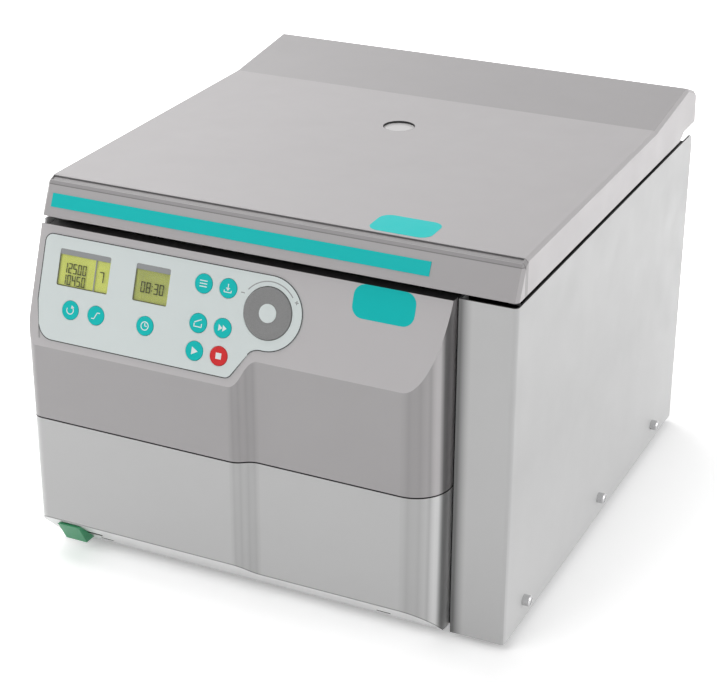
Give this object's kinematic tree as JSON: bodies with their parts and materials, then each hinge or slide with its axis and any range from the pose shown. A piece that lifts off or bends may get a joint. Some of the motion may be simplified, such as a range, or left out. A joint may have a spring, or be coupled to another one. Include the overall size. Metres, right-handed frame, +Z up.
{
  "type": "bench centrifuge",
  "caption": "Bench centrifuge with a hinged lid on gas struts, a sloping control console with keys and dial, a swing-out rotor in a steel bowl, and a lid latch with pull release",
  "frame": {"origin": "middle of the footprint of the whole part, on the plane its feet stand on", "axes": "+X to the right as seen from the front, +Y from the front to the back, +Z up"},
  "size_m": [0.413, 0.467, 0.3348],
  "materials": {
    "zinc_sheet": "zinc plated sheet",
    "cabinet_paint": "light grey powder coat",
    "deck_paint": "black powder coat, fine texture",
    "front_plastic": "grey moulded plastic, satin",
    "foil": "printed polyester foil, satin",
    "key_teal": "teal silicone dome",
    "key_red": "red silicone dome",
    "dial_grey": "mid grey, fine turned rings",
    "dial_pale": "pale grey cap",
    "black_plastic": "black moulded plastic",
    "window_clear": "clear acrylic",
    "lcd_green": "yellow-green liquid crystal glass",
    "board_green": "green circuit board",
    "steel_bright": "stainless, brushed",
    "rubber_black": "black rubber",
    "guard_paint": "grey primer on thick steel",
    "motor_paint": "dark grey paint",
    "rotor_aluminium": "clear anodised, turned",
    "lid_plastic": "grey moulded plastic, satin",
    "liner_steel": "pale grey powder coat",
    "teal_band": "teal foil",
    "strut_paint": "black painted steel tube",
    "tab_green": "green moulded plastic",
    "screw_zinc": "nickel plated"
  },
  "bodies": {
    "cabinet": {"base_pan": "zinc_sheet", "side_panel_right": "cabinet_paint", "side_panel_left": "cabinet_paint", "rear_panel": "cabinet_paint", "front_frame": "deck_paint", "console_panel": "front_plastic", "lower_panel": "front_plastic", "keypad_foil": "foil", "dial_encoder": "black_plastic", "display_windows": "window_clear", "speed_display": "lcd_green", "time_display": "lcd_green", "control_board": "board_green", "top_deck": "deck_paint", "chamber_bowl": "steel_bright", "chamber_seal": "rubber_black", "guard_ring": "guard_paint", "motor_housing": "motor_paint", "motor_bearings": "steel_bright", "motor_plate": "zinc_sheet", "motor_mounts": "rubber_black", "shaft_seal": "rubber_black", "hinge_brackets": "zinc_sheet", "hinge_pins": "steel_bright", "lock_case": "zinc_sheet", "feet": "rubber_black", "side_screws": "screw_zinc", "power_entry": "black_plastic", "drive_board": "board_green"},
    "lid": {"lid_shell": "lid_plastic", "lid_liner": "liner_steel", "accent_stripe": "teal_band", "sight_port": "window_clear", "lid_hinge_arms": "zinc_sheet", "lid_strikers": "steel_bright"},
    "rotor": {"motor_shaft": "steel_bright", "rotor_yoke": "rotor_aluminium", "rotor_nut": "black_plastic"},
    "hanging_bucket_1": {"bucket_1": "rotor_aluminium"},
    "hanging_bucket_2": {"bucket_2": "rotor_aluminium"},
    "hanging_bucket_3": {"bucket_3": "rotor_aluminium"},
    "hanging_bucket_4": {"bucket_4": "rotor_aluminium"},
    "strut_tube_right": {"strut_cylinder_right": "strut_paint"},
    "strut_piston_right": {"strut_rod_right": "steel_bright"},
    "strut_tube_left": {"strut_cylinder_left": "strut_paint"},
    "strut_piston_left": {"strut_rod_left": "steel_bright"},
    "latch": {"latch_bar": "steel_bright"},
    "release": {"release_tab": "tab_green"},
    "dial": {"dial_knob": "dial_grey", "dial_cap": "dial_pale"},
    "mains_rocker": {"rocker_switch": "black_plastic"},
    "key_cap_speed": {"key_speed": "key_teal"},
    "key_cap_ramp": {"key_ramp": "key_teal"},
    "key_cap_time": {"key_time": "key_teal"},
    "key_cap_program": {"key_program": "key_teal"},
    "key_cap_save": {"key_save": "key_teal"},
    "key_cap_lid": {"key_lid": "key_teal"},
    "key_cap_pulse": {"key_pulse": "key_teal"},
    "key_cap_start": {"key_start": "key_teal"},
    "key_cap_stop": {"key_stop": "key_red"}
  },
  "joints": [
    {"name": "lid_hinge", "type": "hinge", "parent": "cabinet", "child": "lid", "pos_m": [0, 0.2155, 0.285], "axis": [-1, 0, 0], "range_deg": [0, 70]},
    {"name": "strut_tilt_right", "type": "hinge", "parent": "cabinet", "child": "strut_tube_right", "pos_m": [0.178, 0.1865, 0.121], "axis": [-1, 0, 0], "range_deg": [0, 11.51]},
    {"name": "strut_stroke_right", "type": "slide", "parent": "strut_tube_right", "child": "strut_piston_right", "axis": [0, -0.1877, 0.9822], "range_m": [0, 0.0575]},
    {"name": "strut_tilt_left", "type": "hinge", "parent": "cabinet", "child": "strut_tube_left", "pos_m": [-0.178, 0.1865, 0.121], "axis": [-1, 0, 0], "range_deg": [0, 11.51]},
    {"name": "strut_stroke_left", "type": "slide", "parent": "strut_tube_left", "child": "strut_piston_left", "axis": [0, -0.1877, 0.9822], "range_m": [0, 0.0575]},
    {"name": "latch_slide", "type": "slide", "parent": "cabinet", "child": "latch", "axis": [1, 0, 0], "range_m": [0, 0.008]},
    {"name": "release_pull", "type": "slide", "parent": "cabinet", "child": "release", "axis": [0, -1, 0], "range_m": [0, 0.02], "stiffness_N_per_m": 150},
    {"name": "press_speed", "type": "slide", "parent": "cabinet", "child": "key_cap_speed", "axis": [0, 0.9397, -0.342], "range_m": [0, 0.0004], "stiffness_N_per_m": 3000},
    {"name": "press_ramp", "type": "slide", "parent": "cabinet", "child": "key_cap_ramp", "axis": [0, 0.9397, -0.342], "range_m": [0, 0.0004], "stiffness_N_per_m": 3000},
    {"name": "press_time", "type": "slide", "parent": "cabinet", "child": "key_cap_time", "axis": [0, 0.9397, -0.342], "range_m": [0, 0.0004], "stiffness_N_per_m": 3000},
    {"name": "press_program", "type": "slide", "parent": "cabinet", "child": "key_cap_program", "axis": [0, 0.9397, -0.342], "range_m": [0, 0.0004], "stiffness_N_per_m": 3000},
    {"name": "press_save", "type": "slide", "parent": "cabinet", "child": "key_cap_save", "axis": [0, 0.9397, -0.342], "range_m": [0, 0.0004], "stiffness_N_per_m": 3000},
    {"name": "press_lid", "type": "slide", "parent": "cabinet", "child": "key_cap_lid", "axis": [0, 0.9397, -0.342], "range_m": [0, 0.0004], "stiffness_N_per_m": 3000},
    {"name": "press_pulse", "type": "slide", "parent": "cabinet", "child": "key_cap_pulse", "axis": [0, 0.9397, -0.342], "range_m": [0, 0.0004], "stiffness_N_per_m": 3000},
    {"name": "press_start", "type": "slide", "parent": "cabinet", "child": "key_cap_start", "axis": [0, 0.9397, -0.342], "range_m": [0, 0.0004], "stiffness_N_per_m": 3000},
    {"name": "press_stop", "type": "slide", "parent": "cabinet", "child": "key_cap_stop", "axis": [0, 0.9397, -0.342], "range_m": [0, 0.0004], "stiffness_N_per_m": 3000},
    {"name": "dial_turn", "type": "hinge", "parent": "cabinet", "child": "dial", "pos_m": [0.0053, -0.21257, 0.25083], "axis": [0, -0.9397, 0.342], "continuous": true},
    {"name": "rotor_spin", "type": "hinge", "parent": "cabinet", "child": "rotor", "pos_m": [0, 0.0345, 0.218], "axis": [0, 0, 1], "continuous": true},
    {"name": "bucket_swing_1", "type": "hinge", "parent": "rotor", "child": "hanging_bucket_1", "pos_m": [0.076, 0.0345, 0.218], "axis": [0, -1, 0], "range_deg": [0, 90]},
    {"name": "bucket_swing_2", "type": "hinge", "parent": "rotor", "child": "hanging_bucket_2", "pos_m": [0, 0.1105, 0.218], "axis": [1, 0, 0], "range_deg": [0, 90]},
    {"name": "bucket_swing_3", "type": "hinge", "parent": "rotor", "child": "hanging_bucket_3", "pos_m": [-0.076, 0.0345, 0.218], "axis": [0, 1, 0], "range_deg": [0, 90]},
    {"name": "bucket_swing_4", "type": "hinge", "parent": "rotor", "child": "hanging_bucket_4", "pos_m": [0, -0.0415, 0.218], "axis": [-1, 0, 0], "range_deg": [0, 90]},
    {"name": "mains_switch", "type": "hinge", "parent": "cabinet", "child": "mains_rocker", "pos_m": [0.13, 0.22, 0.0675], "axis": [-1, 0, 0], "range_deg": [0, 14]}
  ],
  "couplings": [
    {"joint": "strut_tilt_right", "follows": "lid_hinge", "ratio": 0.163},
    {"joint": "strut_stroke_right", "follows": "lid_hinge", "m_per_rad": 0.046834},
    {"joint": "strut_tilt_left", "follows": "lid_hinge", "ratio": 0.163},
    {"joint": "strut_stroke_left", "follows": "lid_hinge", "m_per_rad": 0.046834},
    {"joint": "bucket_swing_2", "follows": "bucket_swing_1", "ratio": 1},
    {"joint": "bucket_swing_3", "follows": "bucket_swing_1", "ratio": 1},
    {"joint": "bucket_swing_4", "follows": "bucket_swing_1", "ratio": 1}
  ]
}
